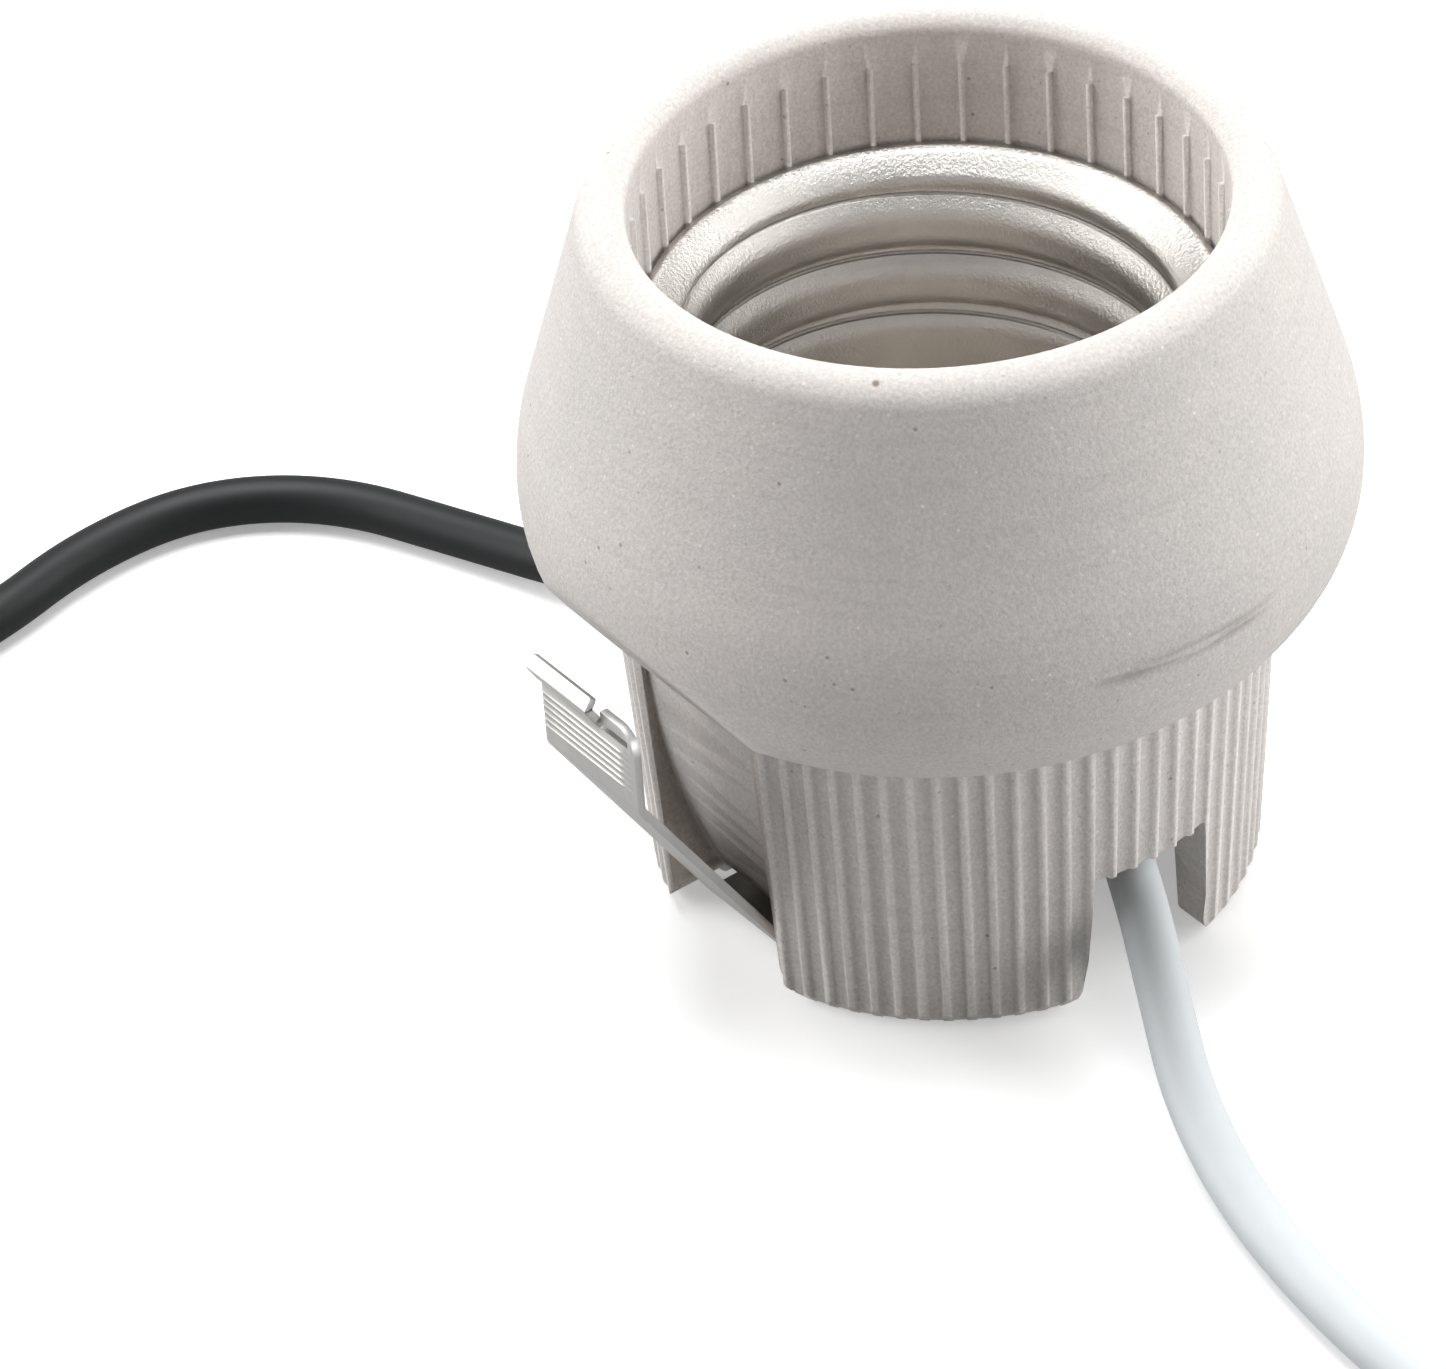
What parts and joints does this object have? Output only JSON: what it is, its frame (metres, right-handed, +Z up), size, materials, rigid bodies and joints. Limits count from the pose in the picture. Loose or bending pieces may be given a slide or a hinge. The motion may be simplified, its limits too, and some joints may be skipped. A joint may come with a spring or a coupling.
{
  "type": "lamp holder",
  "caption": "Unglazed ceramic screw lamp holder with a flared collar, ribbed neck, sprung side clips and two loose wire leads.",
  "frame": {"origin": "centre of the neck's foot, on the surface that the holder stands on", "axes": "+Z up along the lamp axis, out of the mouth; the spring clips stand at -X and +X; the white lead leaves at -Y and the black lead at +Y"},
  "size_m": [0.0819, 0.1622, 0.041],
  "materials": {
    "ceramic": "unglazed, fine matt grain",
    "shell_metal": "satin rolled sheet",
    "rivet_metal": "bright plated",
    "brass": "satin",
    "spring_steel": "satin spring steel",
    "tinned": "tinned",
    "white_insulation": "smooth",
    "black_insulation": "smooth"
  },
  "bodies": {
    "holder": {"ceramic_body": "ceramic", "screw_shell": "shell_metal", "shell_rivets": "rivet_metal", "rivet_washer": "rivet_metal", "cup_washer": "spring_steel", "contact_cup": "brass", "contact_spring": "spring_steel", "terminal_white": "tinned", "terminal_black": "tinned", "lead_white": "white_insulation", "lead_black": "black_insulation", "strands_white": "tinned", "strands_black": "tinned"},
    "contact": {"contact_plunger": "brass"},
    "left_clip": {"clip_left": "spring_steel"},
    "right_clip": {"clip_right": "spring_steel"}
  },
  "joints": [
    {"name": "contact_press", "type": "slide", "parent": "holder", "child": "contact", "axis": [0, 0, -1], "range_m": [0, 0.0022], "stiffness_N_per_m": 1500, "deforming": ["contact_spring"]},
    {"name": "left_clip_flex", "type": "hinge", "parent": "holder", "child": "left_clip", "pos_m": [-0.0133, 0, 0.0005], "axis": [0, 1, 0], "range_deg": [0, 4.2], "stiffness_Nm_per_rad": 1},
    {"name": "right_clip_flex", "type": "hinge", "parent": "holder", "child": "right_clip", "pos_m": [0.0133, 0, 0.0005], "axis": [0, -1, 0], "range_deg": [0, 4.2], "stiffness_Nm_per_rad": 1}
  ]
}
